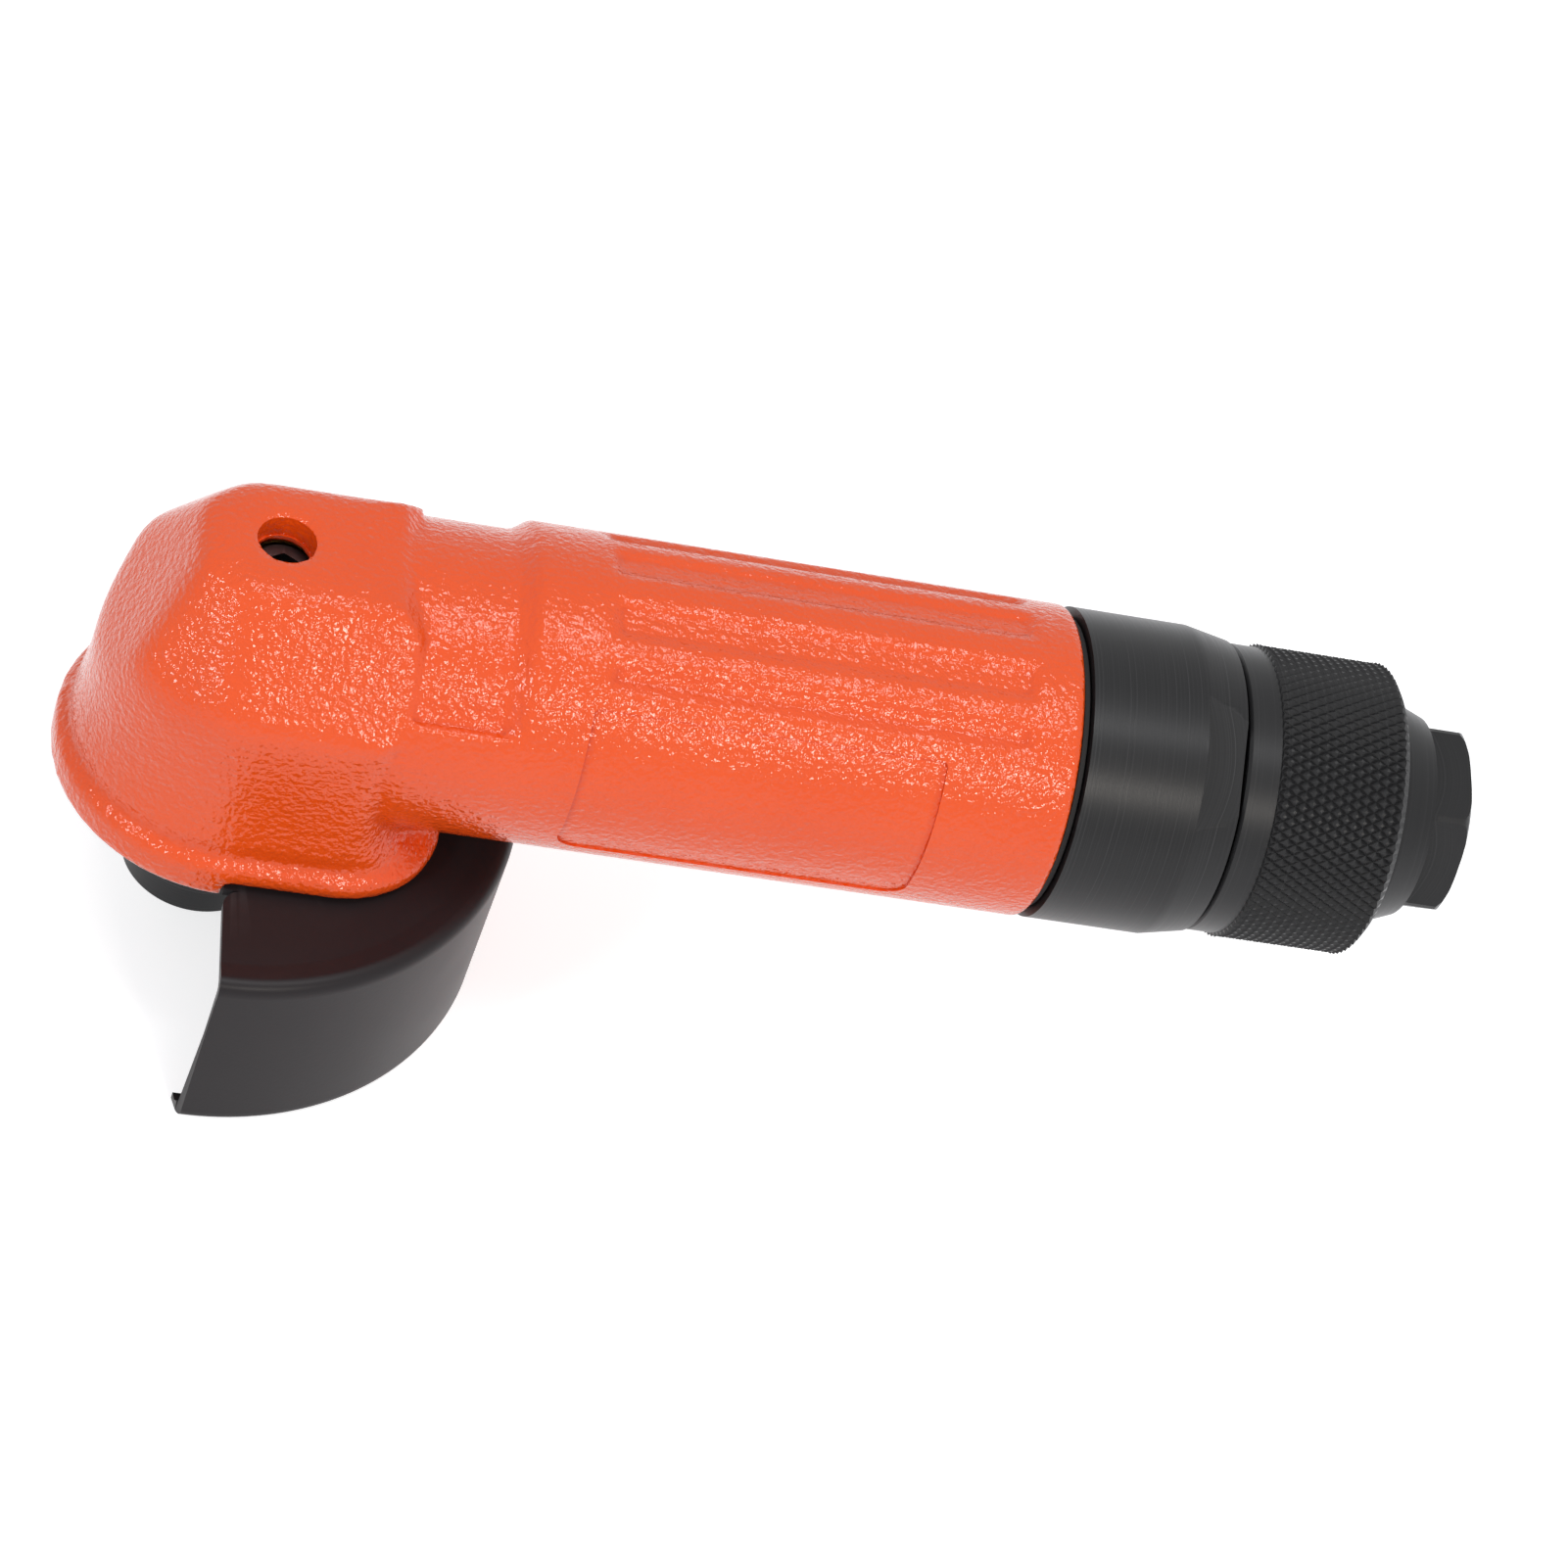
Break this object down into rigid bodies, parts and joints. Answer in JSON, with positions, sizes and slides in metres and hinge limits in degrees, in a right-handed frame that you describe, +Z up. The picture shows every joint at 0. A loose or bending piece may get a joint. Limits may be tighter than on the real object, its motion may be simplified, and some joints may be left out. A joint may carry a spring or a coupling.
{
  "type": "pneumatic angle grinder",
  "caption": "Air-driven angle grinder with a cast housing, a half wheel guard, a bevel gear head, a vane motor and a knurled roll throttle at the air inlet.",
  "frame": {"origin": "centre of the spindle's lower end face, on the spindle's axis", "axes": "+X from the spindle along the handle to the air inlet, +Y across the head, +Z up along the spindle towards the head's top facet"},
  "size_m": [0.2476, 0.1056, 0.0952],
  "materials": {
    "orange_paint": "gloss hammered orange paint on an aluminium casting",
    "black_oxide": "black oxide steel with fine turning marks",
    "guard_black": "satin black paint on pressed sheet steel",
    "ground_steel": "ground bright steel",
    "dark_steel": "hardened dark steel",
    "brass": "machined brass",
    "black_rubber": "matt black rubber",
    "vane_resin": "phenolic resin sheet"
  },
  "bodies": {
    "frame": {"housing": "orange_paint", "rear_cap": "black_oxide", "cap_gasket": "black_rubber", "front_end_plate": "dark_steel", "rear_end_plate": "dark_steel", "cylinder_liner": "ground_steel", "liner_pin": "ground_steel", "front_bearing_outer_ring": "ground_steel", "rear_bearing_outer_ring": "ground_steel", "spindle_bearing_outer_ring": "ground_steel", "spindle_bush": "brass", "bearing_retainer": "black_oxide", "spindle_seal": "black_rubber", "guard": "guard_black", "guard_screw_1": "black_oxide", "guard_screw_2": "black_oxide", "inlet_body": "black_oxide", "ring_seal_front": "black_rubber", "ring_seal_rear": "black_rubber", "inlet_screen": "brass", "valve_seat": "brass"},
    "rotor_group": {"rotor": "ground_steel", "vane_1": "vane_resin", "vane_2": "vane_resin", "vane_3": "vane_resin", "vane_4": "vane_resin", "vane_5": "vane_resin", "bevel_pinion": "dark_steel", "pinion_nut": "dark_steel", "front_bearing_inner_ring": "ground_steel", "rear_bearing_inner_ring": "ground_steel"},
    "spindle_group": {"spindle": "dark_steel", "bevel_gear": "dark_steel", "gear_key": "dark_steel", "spindle_bearing_inner_ring": "ground_steel", "backing_flange": "black_oxide", "flange_nut": "black_oxide"},
    "front_cage": {"front_bearing_cage": "brass"},
    "rear_cage": {"rear_bearing_cage": "brass"},
    "spindle_cage": {"spindle_bearing_cage": "brass"},
    "throttle_grip": {"throttle_ring": "black_oxide"},
    "throttle_valve": {"throttle_spool": "brass", "throttle_pin": "ground_steel"}
  },
  "joints": [
    {"name": "rotor_spin", "type": "hinge", "parent": "frame", "child": "rotor_group", "pos_m": [0.0755, 0, 0.06], "axis": [1, 0, 0], "continuous": true},
    {"name": "spindle_spin", "type": "hinge", "parent": "frame", "child": "spindle_group", "pos_m": [0, 0, 0.04], "axis": [0, 0, 1], "continuous": true},
    {"name": "front_cage_spin", "type": "hinge", "parent": "frame", "child": "front_cage", "pos_m": [0.0343, 0, 0.06], "axis": [1, 0, 0], "continuous": true},
    {"name": "rear_cage_spin", "type": "hinge", "parent": "frame", "child": "rear_cage", "pos_m": [0.1165, 0, 0.06], "axis": [1, 0, 0], "continuous": true},
    {"name": "spindle_cage_spin", "type": "hinge", "parent": "frame", "child": "spindle_cage", "pos_m": [0, 0, 0.033], "axis": [0, 0, 1], "continuous": true},
    {"name": "throttle_turn", "type": "hinge", "parent": "frame", "child": "throttle_grip", "pos_m": [0.1863, 0, 0.06], "axis": [1, 0, 0], "range_deg": [0, 60]},
    {"name": "throttle_slide", "type": "slide", "parent": "frame", "child": "throttle_valve", "axis": [1, 0, 0], "range_m": [0, 0.003]}
  ],
  "couplings": [
    {"joint": "spindle_spin", "follows": "rotor_spin", "ratio": 0.7},
    {"joint": "front_cage_spin", "follows": "rotor_spin", "ratio": 0.397},
    {"joint": "rear_cage_spin", "follows": "rotor_spin", "ratio": 0.397},
    {"joint": "spindle_cage_spin", "follows": "rotor_spin", "ratio": 0.267},
    {"joint": "throttle_slide", "follows": "throttle_turn", "m_per_rad": 0.0028648}
  ]
}
